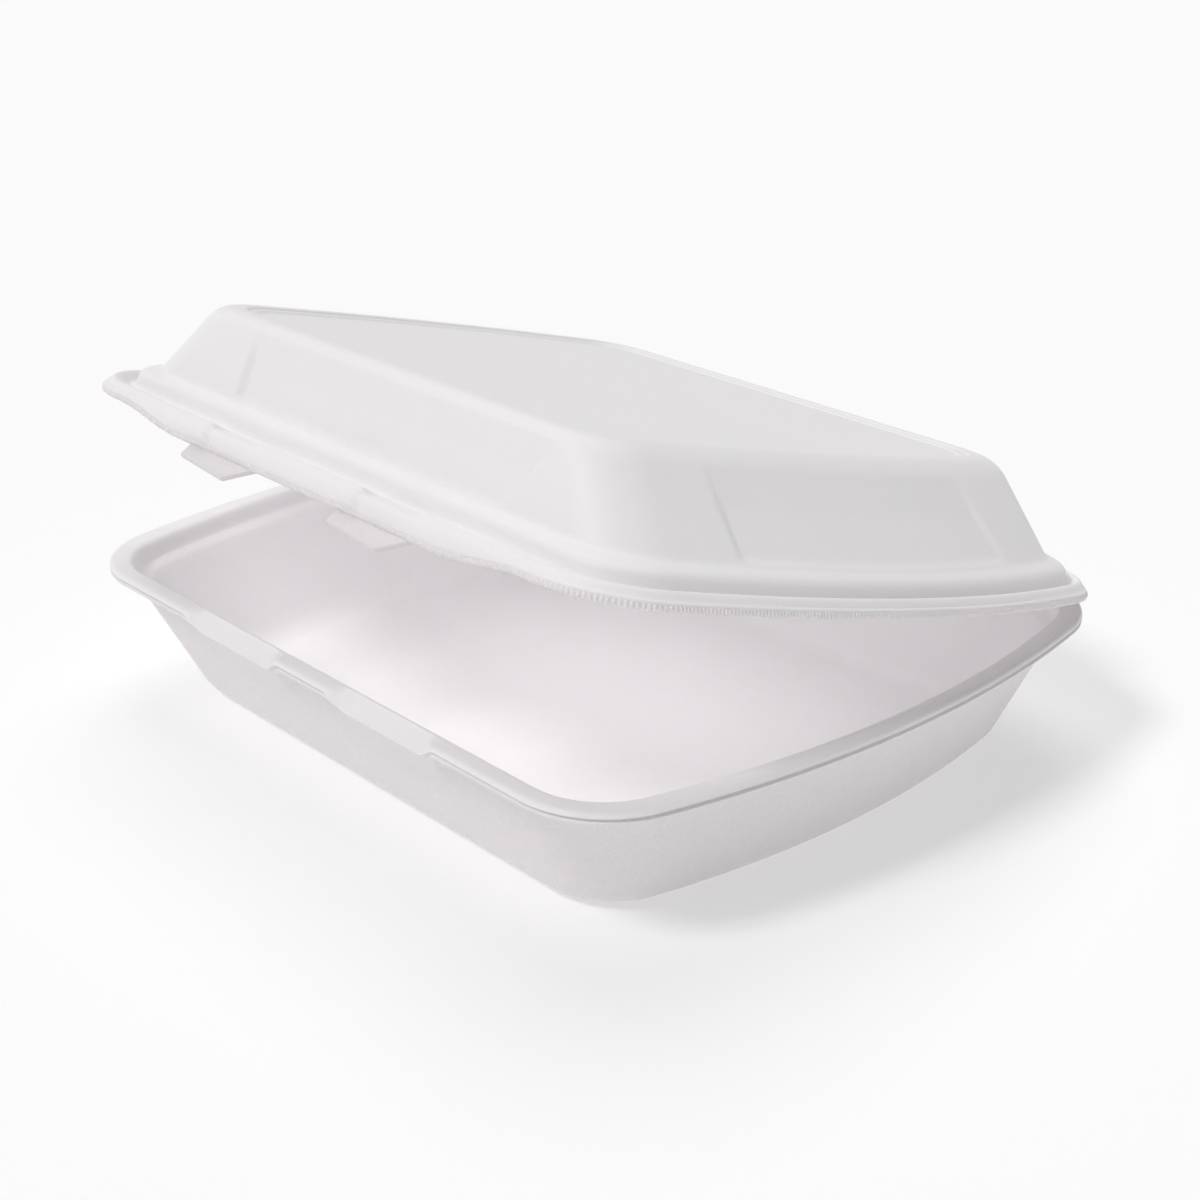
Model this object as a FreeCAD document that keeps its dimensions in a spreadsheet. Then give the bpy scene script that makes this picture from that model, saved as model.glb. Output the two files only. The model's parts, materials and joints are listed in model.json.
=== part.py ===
import FreeCAD, Part
import math
import os
import Sketcher

# Foam clamshell container: a deep tray and a shallow lid moulded from one foam sheet.
# Millimetres. X runs along the hinge, -Y is the front with the tabs, +Z is up.
# The origin lies on the table, under the middle of the tray's rim.

os.makedirs("parts", exist_ok=True)
doc = FreeCAD.newDocument("clamshell")
sheet = doc.addObject("Spreadsheet::Sheet", "sizes")

SIZES = (
    # rim that tray and lid share
    ("rim_width", 238, "over the bowed sides"),
    ("rim_depth", 188, "front lip to back lip"),
    ("rim_bow", 14, "how far each side bows out"),
    ("rim_corner", 26, "corner radius of the rim"),
    ("foam", 2.4, "thickness of the moulded sheet"),
    # tray
    ("tray_height", 40, "table to the top of the lip"),
    ("lip_width", 6, "lip, outer edge to the mouth"),
    ("lip_thick", 3.1, "height of the lip's edge"),
    ("lip_round", 1.2, "rounding of the lip's edge"),
    ("mouth_round", 2, "rounding where the lip turns down into the tray"),
    ("base_width", 194.5, "bottom outline, over its bowed sides"),
    ("base_front", 21, "bottom outline back from the front lip"),
    ("base_back", 15, "bottom outline in from the back lip"),
    ("base_bow", 10.5, "bow of the bottom outline"),
    ("base_corner", 20.8, "corner radius of the bottom outline"),
    ("base_round", 7, "outer rounding between wall and bottom"),
    # lid, measured from its own rim when it is shut
    ("lid_height", 29.5, "rim to the top"),
    ("flange_width", 5, "flat flange around the lid"),
    ("flange_thick", 2.0, "thickness of the flange"),
    ("flange_round", 0.9, "rounding of the flange's edge"),
    ("shoulder_low", 6.4, "where the shoulder starts to turn in"),
    ("shoulder_high", 8, "where the wall starts above the shoulder"),
    ("shoulder_lean", 0.8, "how far the shoulder leans in below its turn"),
    ("shoulder_step", 5, "flange edge of the shoulder to the foot of the wall"),
    ("shoulder_round", 2.2, "rounding of the shoulder"),
    ("top_width", 169, "top outline, over its bowed sides"),
    ("top_front", 14, "top outline back from the front rim"),
    ("top_back", 17, "top outline in from the back rim"),
    ("top_bow", 6, "bow of the top outline"),
    ("wall_corner", 20, "corner radius of the walls above the shoulder"),
    ("top_corner", 16, "corner radius of the top outline"),
    ("top_round", 5, "outer rounding between wall and top"),
    ("panel_depth", 1.2, "depth of the shallow panels"),
    ("panel_border", 6, "flat border around the top panel"),
    ("panel_low", 8.6, "lower edge of the wall panels"),
    ("panel_high", 25, "where the wall panels run out"),
    ("panel_rise", 0.5, "the panel's plane stands off the wall by this at that height"),
    ("front_panel", 112, "width of the front and back panels"),
    ("side_panel", 102, "length of the side panels"),
    # hinge
    ("hinge_reach", 3.2, "back lip to the crease"),
    ("hinge_width", 164, "length of the crease"),
    ("hinge_sheet", 1.6, "foam pressed thin beside the crease"),
    ("shut_gap", 0.3, "tray lip to lid flange when shut"),
    ("crease_gap", 0.4, "clearance of the two thin strips along the crease"),
    ("open_angle", 15, "how far the lid stands open at rest"),
    # front latch
    ("apron_reach", 3.2, "lid flange past the tray's front lip"),
    ("apron_drop", 3, "how far the front flange turns down"),
    ("apron_thick", 2.2, "thickness of the turned down lip"),
    ("apron_width", 164, "length of the turned down lip"),
    ("latch_pitch", 64, "centre to centre of the two tabs"),
    ("tab_width", 31, "width of a tab at its root"),
    ("tab_taper", 2, "how much each end of a tab slants in"),
    ("tab_sink", 1, "root of a tab inside the turned down lip"),
    ("tab_slant", 5, "how much shorter a tab is at its outer end"),
    ("tab_reach", 11.5, "length of a tab at its inner end"),
    ("tab_thick", 1.8, "thickness of a tab"),
    ("tab_slope", 28, "degrees that a tab slopes down from the flange"),
    ("notch_extra", 6, "notch longer than the tab by this much"),
    ("notch_drop", 5, "depth of the sloped notch at its outer edge"),
    ("notch_shelf", 1.4, "lip left flat behind a notch"),
    ("notch_skirt", 18, "depth down to where the notch meets the wall"),
)
for row, (alias, value, note) in enumerate(SIZES, 1):
    sheet.set("A%d" % row, str(value))
    sheet.setAlias("A%d" % row, alias)
    sheet.set("B%d" % row, note)
doc.recompute()


class Size:
    """A length with its value and the expression that gives it."""

    def __init__(self, text, value):
        self.text = text
        self.value = float(value)

    def join(self, sign, other, value):
        text = other.text if isinstance(other, Size) else repr(other)
        return Size("(%s %s %s)" % (self.text, sign, text), value)

    def __add__(self, other):
        return self.join("+", other, self.value + number(other))

    def __sub__(self, other):
        return self.join("-", other, self.value - number(other))

    def __mul__(self, other):
        return self.join("*", other, self.value * number(other))

    def __truediv__(self, other):
        return self.join("/", other, self.value / number(other))

    def __neg__(self):
        return Size("(0 - %s)" % self.text, -self.value)


def number(value):
    return value.value if isinstance(value, Size) else value


def size(alias):
    return Size("sizes." + alias, sheet.get(alias))


def bind(thing, path, length):
    thing.setExpression(path, length.text)


def plane(body, role):
    for feature in body.Origin.OriginFeatures:
        if feature.Role == role:
            return feature
    raise ValueError(role)


def new_sketch(body, name, role, level):
    sketch = body.newObject("Sketcher::SketchObject", name)
    sketch.AttachmentSupport = [(plane(body, role), "")]
    sketch.MapMode = "FlatFace"
    if isinstance(level, Size):
        bind(sketch, "AttachmentOffset.Base.z", level)
    return sketch


def place_point(sketch, name, geometry, point, axis, length):
    """Holds one point of a sketch at a signed distance from the sketch's origin."""
    kind = "Distance" + axis
    if abs(length.value) < 1e-9:
        line = -1 if axis == "Y" else -2
        sketch.addConstraint(Sketcher.Constraint("PointOnObject", geometry, point, line))
        return
    if length.value > 0:
        pair = (-1, 1, geometry, point)
    else:
        pair = (geometry, point, -1, 1)
        length = -length
    index = sketch.addConstraint(Sketcher.Constraint(kind, *pair, length.value))
    sketch.renameConstraint(index, name)
    bind(sketch, "Constraints." + name, length)


def outline(body, name, level, half_width, front, back, bow, corner):
    """Closed outline from above: straight front and back, bowed sides, round corners."""
    sketch = new_sketch(body, name, "XY_Plane", level)
    half = (back - front) / 2
    middle = (front + back) / 2
    radius = (half * half + bow * bow) / (bow * 2)
    big, small, mid = radius.value, corner.value, middle.value
    bow_x = half_width.value - big
    corner_y = half.value - small
    corner_x = bow_x + math.sqrt((big - small) ** 2 - corner_y ** 2)
    turn = math.atan2(corner_y, corner_x - bow_x)

    def arc(x, y, r, start, end):
        centre = FreeCAD.Vector(x, y, 0)
        circle = Part.Circle(centre, FreeCAD.Vector(0, 0, 1), r)
        return Part.ArcOfCircle(circle, start, end)

    def line(x0, y0, x1, y1):
        return Part.LineSegment(FreeCAD.Vector(x0, y0, 0), FreeCAD.Vector(x1, y1, 0))

    right, full = math.pi / 2, math.pi
    edges = [
        arc(bow_x, mid, big, -turn, turn),
        arc(corner_x, mid + corner_y, small, turn, right),
        line(corner_x, back.value, -corner_x, back.value),
        arc(-corner_x, mid + corner_y, small, right, full - turn),
        arc(-bow_x, mid, big, full - turn, full + turn),
        arc(-corner_x, mid - corner_y, small, full + turn, full + right),
        line(-corner_x, front.value, corner_x, front.value),
        arc(corner_x, mid - corner_y, small, full + right, 2 * full - turn),
    ]
    sketch.addGeometry(edges, False)
    rules = [Sketcher.Constraint("Tangent", i, 2, (i + 1) % 8, 1) for i in range(8)]
    rules += [Sketcher.Constraint("Equal", 1, i) for i in (3, 5, 7)]
    rules += [Sketcher.Constraint("Equal", 0, 4)]
    rules += [Sketcher.Constraint("Horizontal", i) for i in (2, 6)]
    sketch.addConstraint(rules)
    for label, edge, length in (("corner", 1, corner), ("bow", 0, radius)):
        index = sketch.addConstraint(Sketcher.Constraint("Radius", edge, length.value))
        sketch.renameConstraint(index, label)
        bind(sketch, "Constraints." + label, length)
    place_point(sketch, "right_x", 0, 3, "X", half_width - radius)
    place_point(sketch, "left_x", 4, 3, "X", radius - half_width)
    place_point(sketch, "right_y", 0, 3, "Y", middle)
    place_point(sketch, "left_y", 4, 3, "Y", middle)
    place_point(sketch, "back", 2, 1, "Y", back)
    place_point(sketch, "front", 6, 1, "Y", front)
    return sketch


def polygon(body, name, role, level, corners):
    """Closed straight sided sketch whose every corner is bound to sizes."""
    sketch = new_sketch(body, name, role, level)
    count = len(corners)
    points = [FreeCAD.Vector(number(a), number(b), 0) for a, b in corners]
    for i in range(count):
        sketch.addGeometry(Part.LineSegment(points[i], points[(i + 1) % count]), False)
    for i in range(count):
        rule = Sketcher.Constraint("Coincident", i, 2, (i + 1) % count, 1)
        sketch.addConstraint(rule)
    for i, (across, up) in enumerate(corners):
        place_point(sketch, "across%d" % i, i, 1, "X", across)
        place_point(sketch, "up%d" % i, i, 1, "Y", up)
    return sketch


def loft(body, kind, name, sketches):
    feature = body.newObject("PartDesign::" + kind, name)
    feature.Profile = sketches[0]
    feature.Sections = sketches[1:]
    feature.Ruled = True
    return feature


def pad(body, kind, name, sketch, length, middle=False):
    feature = body.newObject("PartDesign::" + kind, name)
    feature.Profile = sketch
    if middle:
        feature.Midplane = True
    bind(feature, "Length", length)
    return feature


def faces_at(feature, level):
    """Names of the level faces of a solid at one height."""
    names = []
    for i, face in enumerate(feature.Shape.Faces, 1):
        box = face.BoundBox
        if box.ZLength < 0.001 and abs(box.ZMin - level) < 0.01:
            names.append("Face%d" % i)
    return names


def edges_where(feature, test):
    return ["Edge%d" % i for i, edge in enumerate(feature.Shape.Edges, 1) if test(edge)]


def fillet(body, name, base, picks, length):
    feature = body.newObject("PartDesign::Fillet", name)
    feature.Base = (base, picks)
    bind(feature, "Radius", length)
    doc.recompute()
    return feature


# Values that tray and lid share
half_rim = size("rim_width") / 2
half_depth = size("rim_depth") / 2
rim_bow = size("rim_bow")
rim_corner = size("rim_corner")
foam = size("foam")
height = size("tray_height")
lip = size("lip_width")
half_gap = size("shut_gap") / 2
half_crease = size("crease_gap") / 2
reach = size("hinge_reach")
pitch = size("latch_pitch") / 2

# Tray: walls and bottom, the lip around them, then the hollow
tray = doc.addObject("PartDesign::Body", "tray")
tray.Label = "tray"
base_half = size("base_width") / 2
base_front = size("base_front") - half_depth
base_back = half_depth - size("base_back")
wall_inset = lip - foam
walls = [
    outline(tray, "base_outline", None, base_half, base_front, base_back,
            size("base_bow"), size("base_corner")),
    outline(tray, "wall_outline", height, half_rim - wall_inset, wall_inset - half_depth,
            half_depth - wall_inset, rim_bow, rim_corner - wall_inset),
]
loft(tray, "AdditiveLoft", "tray_walls", walls)
lip_sketch = outline(tray, "lip_outline", height - size("lip_thick"), half_rim,
                     -half_depth, half_depth, rim_bow, rim_corner)
pad(tray, "Pad", "tray_lip", lip_sketch, size("lip_thick"))
hollow = [
    outline(tray, "floor_outline", foam, base_half - foam, base_front + foam,
            base_back - foam, size("base_bow"), size("base_corner") - foam),
    outline(tray, "mouth_outline", height, half_rim - lip, lip - half_depth,
            half_depth - lip, rim_bow, rim_corner - lip),
]
tray_tip = loft(tray, "SubtractiveLoft", "tray_hollow", hollow)
doc.recompute()
tray_tip = fillet(tray, "base_rounding", tray_tip, faces_at(tray_tip, 0), size("base_round"))
tray_tip = fillet(tray, "floor_rounding", tray_tip, faces_at(tray_tip, foam.value),
                  size("base_round") - foam)


def at_lip(edge, outer):
    """Edges of the lip: its outer edge above and below, or the mouth's edge."""
    box = edge.BoundBox
    low = height.value - size("lip_thick").value
    level = box.ZLength < 0.001 and (abs(box.ZMin - height.value) < 0.001
                                     or abs(box.ZMin - low) < 0.001)
    across = half_rim.value - lip.value / 2
    along = half_depth.value - lip.value / 2
    out = max(box.XMax, -box.XMin) > across or max(box.YMax, -box.YMin) > along
    if outer:
        return level and out
    return level and not out and abs(box.ZMin - height.value) < 0.001


tray_tip = fillet(tray, "mouth_rounding", tray_tip,
                  edges_where(tray_tip, lambda edge: at_lip(edge, False)), size("mouth_round"))
tray_tip = fillet(tray, "lip_rounding", tray_tip,
                  edges_where(tray_tip, lambda edge: at_lip(edge, True)), size("lip_round"))

# Thin strip behind the back lip, up to the crease
root = half_depth - lip / 2
strip_low = height - size("hinge_sheet")
strip_end = half_depth + reach - half_crease
strip = polygon(tray, "tray_strip_outline", "YZ_Plane", None,
                [(root, strip_low), (strip_end, strip_low), (strip_end, height), (root, height)])
pad(tray, "Pad", "tray_strip", strip, size("hinge_width"), True)

# Two sloped notches in the front lip, one under each tab
notch_length = size("tab_width") + size("notch_extra")
shelf_y = lip - size("notch_shelf") - half_depth
outer_y = size("lip_round") - half_depth
drop = size("notch_drop")
skirt = size("notch_skirt")
wall_slope = (size("base_front") - wall_inset) / height
skirt_y = wall_inset - half_depth + wall_slope * skirt
ramp = polygon(tray, "ramp_outline", "YZ_Plane", pitch,
               [(shelf_y, height - 1), (outer_y, height - drop),
                (skirt_y + 0.5, height - skirt), (skirt_y + 1.5, height - skirt)])
pad(tray, "Pad", "notch_ramp", ramp, notch_length, True)
ramps = tray.newObject("PartDesign::Mirrored", "notch_ramps")
ramps.Originals = [tray.Document.getObject("notch_ramp")]
ramps.MirrorPlane = (plane(tray, "YZ_Plane"), [""])
tray.Tip = ramps
steep = drop / (shelf_y - outer_y)
past_y = outer_y - 3
cut = polygon(tray, "notch_outline", "YZ_Plane", pitch,
              [(shelf_y, height), (past_y, height - drop - steep * 3),
               (past_y, height + 1), (shelf_y, height + 1)])
pad(tray, "Pocket", "notch_cut", cut, notch_length, True)
cuts = tray.newObject("PartDesign::Mirrored", "notch_cuts")
cuts.Originals = [tray.Document.getObject("notch_cut")]
cuts.MirrorPlane = (plane(tray, "YZ_Plane"), [""])
tray.Tip = cuts
doc.recompute()

# Lid, drawn shut in a frame whose origin is the middle of the crease
lid = doc.addObject("PartDesign::Body", "lid")
lid.Label = "lid"
rim_back = -reach
rim_front = -reach - size("rim_depth")
under = half_gap
flange = size("flange_width")
apron_front = rim_front - size("apron_reach")


def ring(name, level, inset, corner, bow):
    """Outline of the lid at one level, set in from the rim on every side."""
    return outline(lid, name, level, half_rim - inset, rim_front + inset, rim_back - inset,
                   bow, corner)


low_inset = flange + size("shoulder_lean")
high_inset = flange + size("shoulder_step")
low = under + size("shoulder_low")
high = under + size("shoulder_high")
top = under + size("lid_height")
top_half = size("top_width") / 2
top_front = rim_front + size("top_front")
top_back = rim_back - size("top_back")
top_bow = size("top_bow")
top_corner = size("top_corner")
wall_corner = size("wall_corner")
shell = [
    ring("foot_outline", under, flange, rim_corner - flange, rim_bow),
    ring("shoulder_low_outline", low, low_inset, rim_corner - low_inset, rim_bow),
    ring("shoulder_high_outline", high, high_inset, wall_corner, rim_bow),
    outline(lid, "top_outline", top, top_half, top_front, top_back, top_bow, top_corner),
]
loft(lid, "AdditiveLoft", "lid_walls", shell)
flange_sketch = outline(lid, "flange_outline", under, half_rim, apron_front, rim_back,
                        rim_bow, rim_corner)
lid_tip = pad(lid, "Pad", "lid_flange", flange_sketch, size("flange_thick"))
doc.recompute()


def at_level(feature, level):
    def test(edge):
        box = edge.BoundBox
        return box.ZLength < 0.001 and abs(box.ZMin - level.value) < 0.01
    return edges_where(feature, test)


def at_flange(edge):
    box = edge.BoundBox
    upper = abs(box.ZMin - under.value - size("flange_thick").value) < 0.001
    out = (max(box.XMax, -box.XMin) > half_rim.value - 1
           or box.YMax > rim_back.value - 1 or box.YMin < apron_front.value + 1)
    return box.ZLength < 0.001 and upper and out


lid_tip = fillet(lid, "shoulder_rounding", lid_tip,
                 at_level(lid_tip, low), size("shoulder_round"))
lid_tip = fillet(lid, "top_rounding", lid_tip, at_level(lid_tip, top), size("top_round"))
lid_tip = fillet(lid, "flange_rounding", lid_tip, edges_where(lid_tip, at_flange),
                 size("flange_round"))
inner = [
    ring("lid_mouth_outline", under, flange + foam, rim_corner - flange - foam, rim_bow),
    ring("inner_low_outline", low - foam / 3, low_inset + foam,
         rim_corner - low_inset - foam, rim_bow),
    ring("inner_high_outline", high - foam / 2, high_inset + foam, wall_corner - foam, rim_bow),
    outline(lid, "inner_top_outline", top - foam, top_half - foam, top_front + foam,
            top_back - foam, top_bow, top_corner - foam),
]
lid_tip = loft(lid, "SubtractiveLoft", "lid_hollow", inner)
doc.recompute()
lid_tip = fillet(lid, "ceiling_rounding", lid_tip, at_level(lid_tip, top - foam),
                 size("top_round") - foam)

# Shallow panel in the top and one in each wall
border = size("panel_border")
top_panel = outline(lid, "top_panel_outline", top, top_half - border, top_front + border,
                    top_back - border, top_bow, top_corner - border / 2)
pad(lid, "Pocket", "top_panel", top_panel, size("panel_depth"))


def between(lower, upper, level):
    """A wall's place at one level, on the straight line between shoulder and top."""
    share = (level - size("shoulder_high")) / (size("lid_height") - size("shoulder_high"))
    return lower + (upper - lower) * share


def wall_panel(name, near, far, outward):
    """Shallow recess in the flat front or back wall, deepest at its lower edge."""
    sketches = []
    half = size("front_panel") / 2
    for label, mark, sink in (("low", size("panel_low"), size("panel_depth")),
                              ("high", size("panel_high"), -size("panel_rise"))):
        wall = between(near, far, mark)
        inside = wall + sink * -outward
        outside = wall + 4 * outward
        sketches.append(polygon(lid, name + "_" + label, "XY_Plane", under + mark,
                                [(-half, outside), (half, outside), (half, inside),
                                 (-half, inside)]))
    return loft(lid, "SubtractiveLoft", name, sketches)


wall_panel("front_wall_panel", rim_front + high_inset, top_front, -1)
wall_panel("back_wall_panel", rim_back - high_inset, top_back, 1)


def bowed_patch(name, mark, sink):
    """Section of a side panel: bowed like the wall, open outwards."""
    level = under + mark
    front = between(rim_front + high_inset, top_front, mark)
    back = between(rim_back - high_inset, top_back, mark)
    bow = between(rim_bow, top_bow, mark)
    across = between(half_rim - high_inset, top_half, mark)
    half = (back - front) / 2
    middle = (back + front) / 2
    radius = (half * half + bow * bow) / (bow * 2)
    reach_y = size("side_panel") / 2
    inside = across - sink
    centre = inside - radius
    outside = across + 4
    sketch = new_sketch(lid, name, "XY_Plane", level)
    turn = math.asin(reach_y.value / radius.value)
    near_x = centre.value + radius.value * math.cos(turn)
    low_y = middle.value - reach_y.value
    high_y = middle.value + reach_y.value
    far_x = outside.value
    circle = Part.Circle(FreeCAD.Vector(centre.value, middle.value, 0),
                         FreeCAD.Vector(0, 0, 1), radius.value)
    points = [FreeCAD.Vector(x, y, 0) for x, y in
              ((near_x, high_y), (far_x, high_y), (far_x, low_y), (near_x, low_y))]
    sketch.addGeometry(Part.ArcOfCircle(circle, -turn, turn), False)
    for start, end in zip(points, points[1:]):
        sketch.addGeometry(Part.LineSegment(start, end), False)
    rules = [Sketcher.Constraint("Coincident", i, 2, (i + 1) % 4, 1) for i in range(4)]
    rules += [Sketcher.Constraint("Horizontal", 1), Sketcher.Constraint("Horizontal", 3)]
    rules += [Sketcher.Constraint("Vertical", 2)]
    sketch.addConstraint(rules)
    index = sketch.addConstraint(Sketcher.Constraint("Radius", 0, radius.value))
    sketch.renameConstraint(index, "bow")
    bind(sketch, "Constraints.bow", radius)
    place_point(sketch, "centre_x", 0, 3, "X", centre)
    place_point(sketch, "centre_y", 0, 3, "Y", middle)
    place_point(sketch, "outside_x", 2, 1, "X", outside)
    place_point(sketch, "high_y", 2, 1, "Y", middle + reach_y)
    place_point(sketch, "low_y", 3, 1, "Y", middle - reach_y)
    return sketch


patches = [
    bowed_patch("side_panel_low", size("panel_low"), size("panel_depth")),
    bowed_patch("side_panel_high", size("panel_high"), -size("panel_rise")),
]
loft(lid, "SubtractiveLoft", "side_wall_panel", patches)
sides = lid.newObject("PartDesign::Mirrored", "side_wall_panels")
sides.Originals = [doc.getObject("side_wall_panel")]
sides.MirrorPlane = (plane(lid, "YZ_Plane"), [""])
lid.Tip = sides
doc.recompute()

# Thin strip from the lid's back flange to the crease
strip_high = under + size("hinge_sheet")
lid_strip = polygon(lid, "lid_strip_outline", "YZ_Plane", None,
                    [(rim_back - flange / 2, under), (-half_crease, under),
                     (-half_crease, strip_high), (rim_back - flange / 2, strip_high)])
pad(lid, "Pad", "lid_strip", lid_strip, size("hinge_width"), True)

# Front flange turned down in front of the tray's lip, with two tabs below it
apron_back = apron_front + size("apron_thick")
apron_low = under - size("apron_drop")
apron = polygon(lid, "apron_outline", "YZ_Plane", None,
                [(apron_front, apron_low), (apron_back, apron_low),
                 (apron_back, under + size("flange_thick") / 2),
                 (apron_front, under + size("flange_thick") / 2)])
pad(lid, "Pad", "apron", apron, size("apron_width"), True)
half_tab = size("tab_width") / 2
taper = size("tab_taper")
tab_reach = size("tab_reach")
tab_sketch = polygon(lid, "tab_outline", "XY_Plane", None,
                     [(pitch - half_tab, size("tab_sink")),
                      (pitch - half_tab + taper, -tab_reach),
                      (pitch + half_tab - taper, size("tab_slant") - tab_reach),
                      (pitch + half_tab, size("tab_sink"))])
tab_sketch.AttachmentOffset = FreeCAD.Placement(
    FreeCAD.Vector(0, apron_front.value, apron_low.value),
    FreeCAD.Rotation(FreeCAD.Vector(1, 0, 0), size("tab_slope").value))
bind(tab_sketch, "AttachmentOffset.Base.y", apron_front)
bind(tab_sketch, "AttachmentOffset.Base.z", apron_low)
bind(tab_sketch, "AttachmentOffset.Rotation.Angle", size("tab_slope"))
pad(lid, "Pad", "tab", tab_sketch, size("tab_thick"))
tabs = lid.newObject("PartDesign::Mirrored", "tabs")
tabs.Originals = [doc.getObject("tab")]
tabs.MirrorPlane = (plane(lid, "YZ_Plane"), [""])
lid.Tip = tabs
doc.recompute()

# The lid stands open about the crease
lid.Placement = FreeCAD.Placement(
    FreeCAD.Vector(0, (half_depth + reach).value, (height + half_gap).value),
    FreeCAD.Rotation(FreeCAD.Vector(-1, 0, 0), size("open_angle").value))
bind(lid, "Placement.Base.y", half_depth + reach)
bind(lid, "Placement.Base.z", height + half_gap)
bind(lid, "Placement.Rotation.Angle", size("open_angle"))
doc.recompute()

for thing in doc.Objects:
    if "Invalid" in thing.State or "Error" in thing.State:
        raise RuntimeError("%s failed: %s" % (thing.Name, thing.State))
    if thing.TypeId == "Sketcher::SketchObject" and thing.solve() != 0:
        raise RuntimeError("%s is not solved" % thing.Name)
bodies = [tray, lid]
for body in bodies:
    if body.Shape.isNull() or not body.Shape.isValid() or len(body.Shape.Solids) != 1:
        raise RuntimeError("%s has no sound solid" % body.Label)
for body in bodies:
    body.Shape.exportStep("parts/%s.step" % body.Label)
    box = body.Shape.BoundBox
    print("%s: %.0f cubic mm, x %.1f to %.1f, y %.1f to %.1f, z %.1f to %.1f" % (
        body.Label, body.Shape.Volume, box.XMin, box.XMax, box.YMin, box.YMax,
        box.ZMin, box.ZMax))
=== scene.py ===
"""Foam clamshell container, dressed over its packed tray and lid.

Everything is in metres in the CAD frame; the shell sizes below are millimetres.
"""

import json
import logging
import math
from dataclasses import dataclass, field, replace
from enum import Enum
from typing import Callable, Optional, Sequence, Union

import bmesh
import bpy
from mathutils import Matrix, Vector


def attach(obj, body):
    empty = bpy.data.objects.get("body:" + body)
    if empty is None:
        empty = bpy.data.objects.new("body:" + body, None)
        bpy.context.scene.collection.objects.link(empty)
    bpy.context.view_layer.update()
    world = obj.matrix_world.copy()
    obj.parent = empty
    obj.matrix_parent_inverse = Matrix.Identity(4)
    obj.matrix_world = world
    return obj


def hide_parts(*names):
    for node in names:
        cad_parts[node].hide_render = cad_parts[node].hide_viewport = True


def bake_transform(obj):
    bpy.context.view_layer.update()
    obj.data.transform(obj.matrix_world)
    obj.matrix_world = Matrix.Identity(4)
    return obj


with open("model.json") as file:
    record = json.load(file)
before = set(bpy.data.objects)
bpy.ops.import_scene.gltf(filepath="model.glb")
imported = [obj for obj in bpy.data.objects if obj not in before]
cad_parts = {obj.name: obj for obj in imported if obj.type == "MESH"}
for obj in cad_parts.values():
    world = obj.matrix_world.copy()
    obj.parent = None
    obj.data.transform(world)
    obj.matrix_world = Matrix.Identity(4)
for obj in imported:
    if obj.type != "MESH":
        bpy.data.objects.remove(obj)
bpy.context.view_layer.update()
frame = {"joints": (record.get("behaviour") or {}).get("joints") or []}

MM = 0.001  # a millimetre in metres
PER_METRE = 1000  # millimetres a metre
STRAIGHT = 0.99  # a way out with more than this along Y is a straight front or back
WELD = 1e-7  # points closer than this are one
Triple = tuple[float, float, float]
log = logging.getLogger("clamshell")


class Side(Enum):
    """The two tabs and notches, by the side of the middle that they are on."""

    LEFT = -1
    RIGHT = 1


class Skin(Enum):
    """How the foam's surface came out of the mould, and how much shade is painted where it
    looks down.
    """

    TRAY = "tray"
    LID = "lid"
    CUT = "cut"


def smooth(low: float, high: float, value: float) -> float:
    """Eases a value from 0 at low to 1 at high.

    Args:
        low: Where the result is 0.
        high: Where the result is 1; it may lie below low.
        value: The value to ease.

    Returns:
        The eased share, from 0 to 1.
    """
    share = min(1.0, max(0.0, (value - low) / (high - low)))
    return share * share * (3 - 2 * share)


def clear_selection() -> None:
    """Leaves edit mode and deselects every object."""
    if bpy.context.object is not None and bpy.context.object.mode != "OBJECT":
        bpy.ops.object.mode_set(mode="OBJECT")
    bpy.ops.object.select_all(action="DESELECT")


def settle(piece: bpy.types.Object) -> None:
    """Moves an object's place and turn into its mesh, so that it sits at the origin.

    Args:
        piece: The object.
    """
    clear_selection()
    piece.select_set(True)
    bpy.context.view_layer.objects.active = piece
    bpy.ops.object.transform_apply(location=True, rotation=True, scale=True)


def face_outwards(piece: bpy.types.Object) -> None:
    """Makes every face of a closed piece point outwards.

    Args:
        piece: The object, whose doubled points are joined first.
    """
    bpy.context.view_layer.objects.active = piece
    bpy.ops.object.mode_set(mode="EDIT")
    bpy.ops.mesh.select_all(action="SELECT")
    bpy.ops.mesh.remove_doubles(threshold=WELD)
    bpy.ops.mesh.normals_make_consistent(inside=False)
    bpy.ops.object.mode_set(mode="OBJECT")


def soften(piece: bpy.types.Object, degrees: float) -> None:
    """Shades a piece smooth, but for edges sharper than an angle.

    Args:
        piece: The object.
        degrees: The angle from which an edge stays sharp.
    """
    clear_selection()
    piece.select_set(True)
    bpy.context.view_layer.objects.active = piece
    bpy.ops.object.shade_smooth_by_angle(angle=math.radians(degrees))


# ---------------------------------------------------------------- finishes


class Signal:
    """A shader socket that is used as a number in Python expressions."""

    def __init__(self, finish: "Finish", socket: bpy.types.NodeSocket) -> None:
        """Wraps one output socket of a finish."""
        self.finish = finish
        self.socket = socket

    def _math(self, operation: str, first: "Operand", second: "Operand") -> "Signal":
        """Adds a Math node for two operands.

        Args:
            operation: The node's operation.
            first: Its first input.
            second: Its second input.

        Returns:
            The result as a signal.
        """
        return self.finish.node("ShaderNodeMath", {"operation": operation},
                                {0: first, 1: second})

    def __add__(self, other: "Operand") -> "Signal":
        """self + other."""
        return self._math("ADD", self, other)

    def __radd__(self, other: "Operand") -> "Signal":
        """other + self."""
        return self._math("ADD", other, self)

    def __sub__(self, other: "Operand") -> "Signal":
        """self - other."""
        return self._math("SUBTRACT", self, other)

    def __mul__(self, other: "Operand") -> "Signal":
        """self * other."""
        return self._math("MULTIPLY", self, other)

    def __rmul__(self, other: "Operand") -> "Signal":
        """other * self."""
        return self._math("MULTIPLY", other, self)


Operand = Union[Signal, float]


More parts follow.
